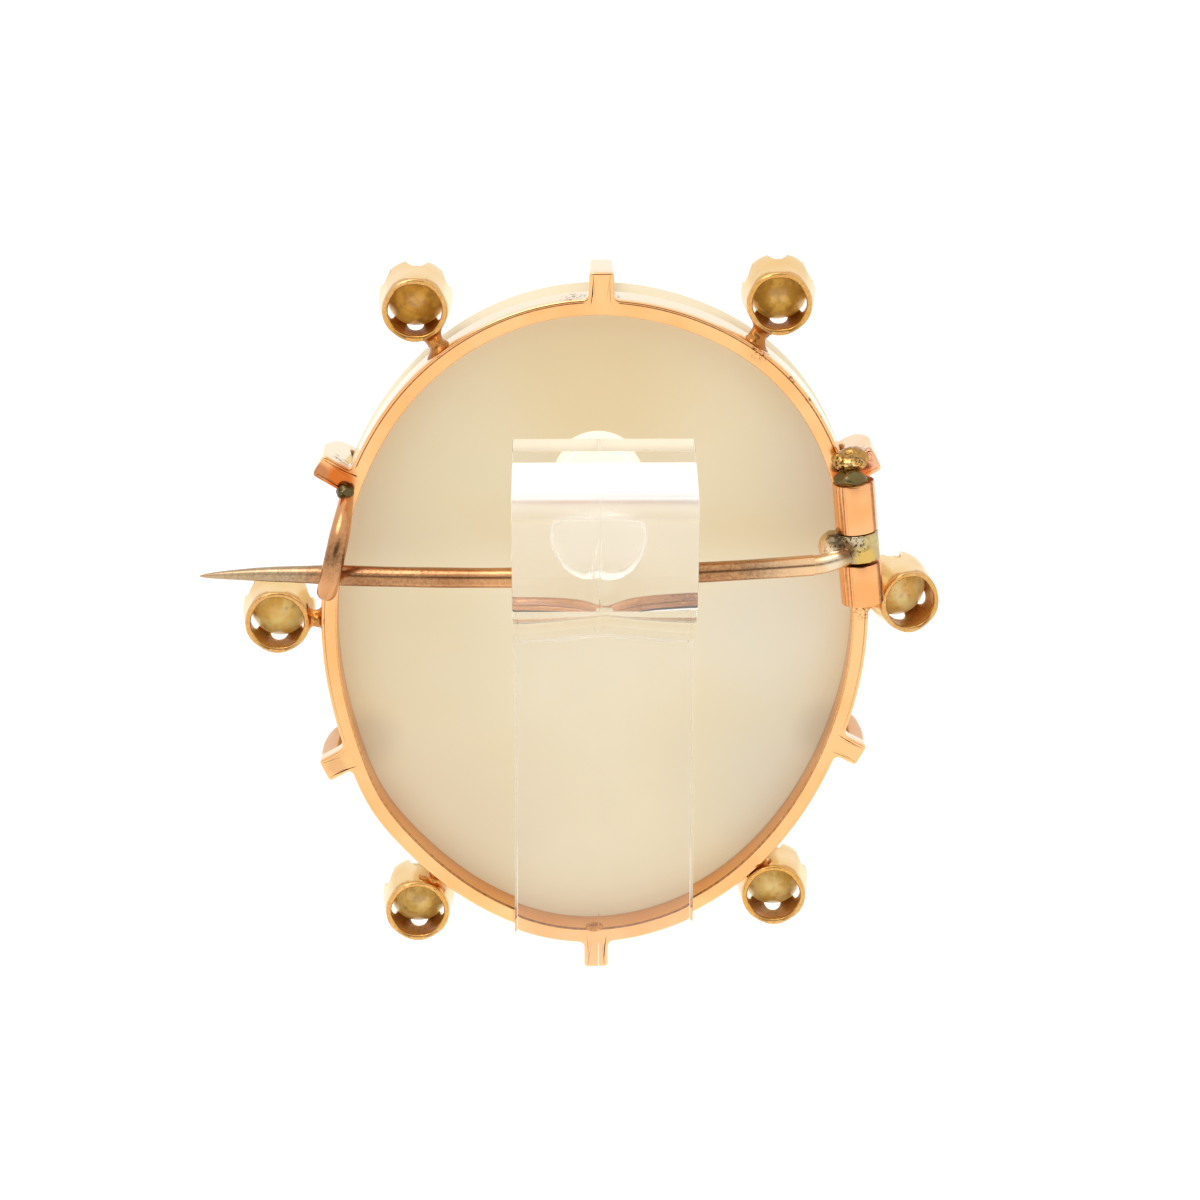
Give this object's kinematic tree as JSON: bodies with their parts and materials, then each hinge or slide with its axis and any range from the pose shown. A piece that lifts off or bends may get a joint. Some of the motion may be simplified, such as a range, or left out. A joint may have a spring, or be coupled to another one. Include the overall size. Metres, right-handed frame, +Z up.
{
  "type": "cameo brooch on a clear display stand",
  "caption": "Oval cameo brooch in a gold frame set with pearls, with a hinged pin and a hook catch, hung by its pin on a clear upright stand",
  "frame": {"origin": "middle of the stand's flat foot, on the surface that it rests on", "axes": "+Z up, +Y out of the carved front, +X to the right when the brooch's back is seen"},
  "size_m": [0.0408, 0.03, 0.0465],
  "materials": {
    "gold": "polished warm gold",
    "cameo_stone": "translucent cream stone, polished back",
    "pearl": "lustrous cream",
    "rose_gold": "polished rose gold wire",
    "tarnished_gold": "dull tarnished gold",
    "clear_acrylic": "clear polished acrylic",
    "clear_gel": "soft clear gel"
  },
  "bodies": {
    "brooch": {"gold_frame": "gold", "cameo": "cameo_stone", "pearl_1": "pearl", "pearl_2": "pearl", "pearl_3": "pearl", "pearl_4": "pearl", "pearl_5": "pearl", "pearl_6": "pearl", "hinge_rivet": "tarnished_gold", "stand": "clear_acrylic", "stand_pad": "clear_gel"},
    "pin_body": {"pin": "rose_gold"}
  },
  "joints": [
    {"name": "pin_hinge", "type": "hinge", "parent": "brooch", "child": "pin_body", "pos_m": [0.01441, -0.00125, 0.03114], "axis": [-0.0906, 0, 0.9959], "range_deg": [0, 110]}
  ]
}
